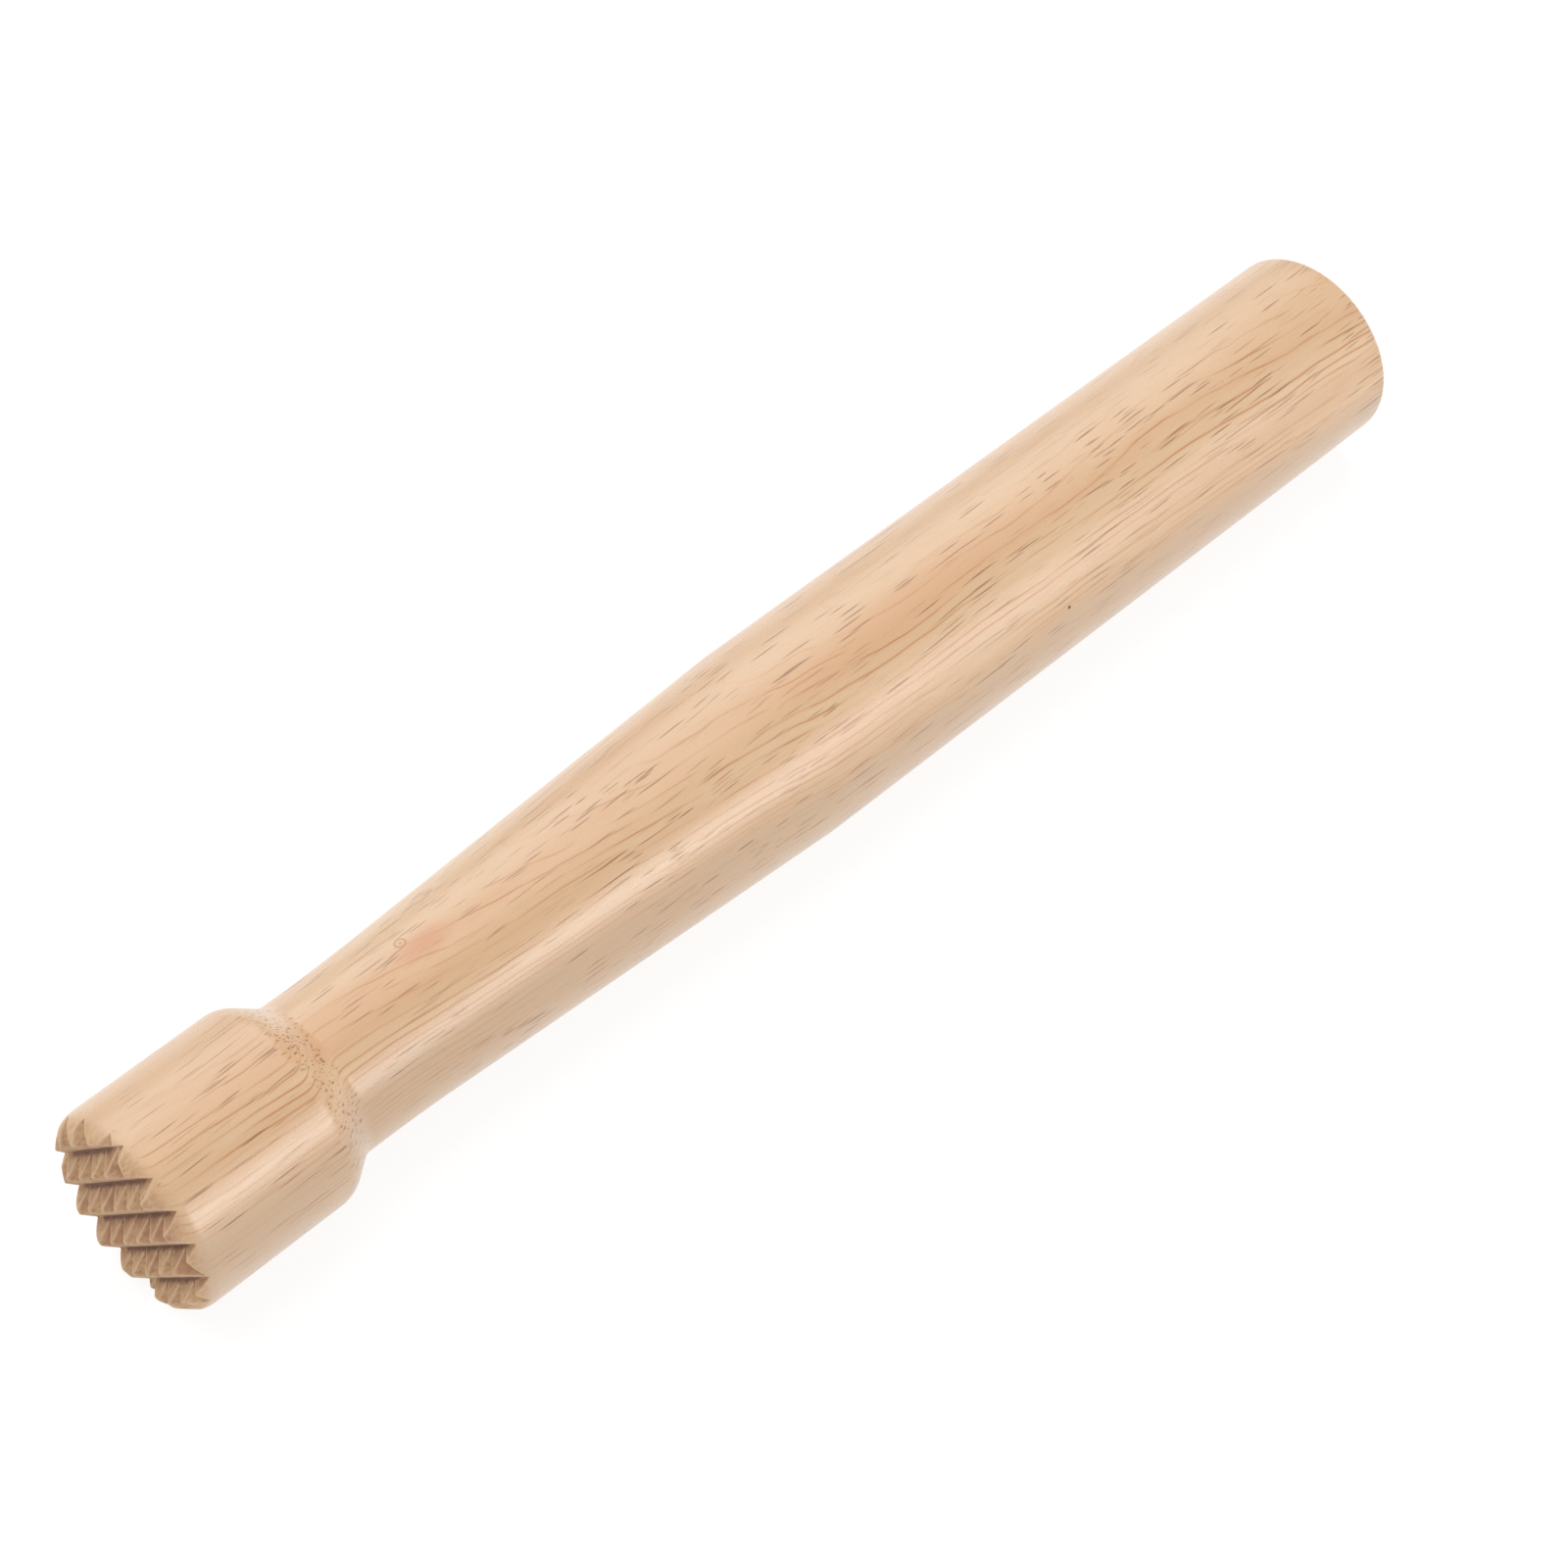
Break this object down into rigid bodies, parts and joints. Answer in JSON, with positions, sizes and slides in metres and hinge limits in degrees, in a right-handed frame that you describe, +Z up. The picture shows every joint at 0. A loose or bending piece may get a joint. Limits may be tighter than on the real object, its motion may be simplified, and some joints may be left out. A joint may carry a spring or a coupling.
{
  "type": "meat mallet",
  "caption": "One-piece turned wooden meat mallet: a short head with a toothed striking face, a slim neck and a round handle that widens to a flat butt.",
  "frame": {"origin": "on the surface that the mallet lies on, under the middle of its length", "axes": "+X along the mallet's axis from the toothed face to the butt, +Z up, +Y sideways"},
  "size_m": [0.255, 0.033, 0.033],
  "materials": {
    "lacquered_wood": "satin clear lacquer over pale, fine-streaked hardwood; bare wood in the tooth grooves"
  },
  "bodies": {
    "root": {"mallet_body": "lacquered_wood"}
  },
  "joints": []
}
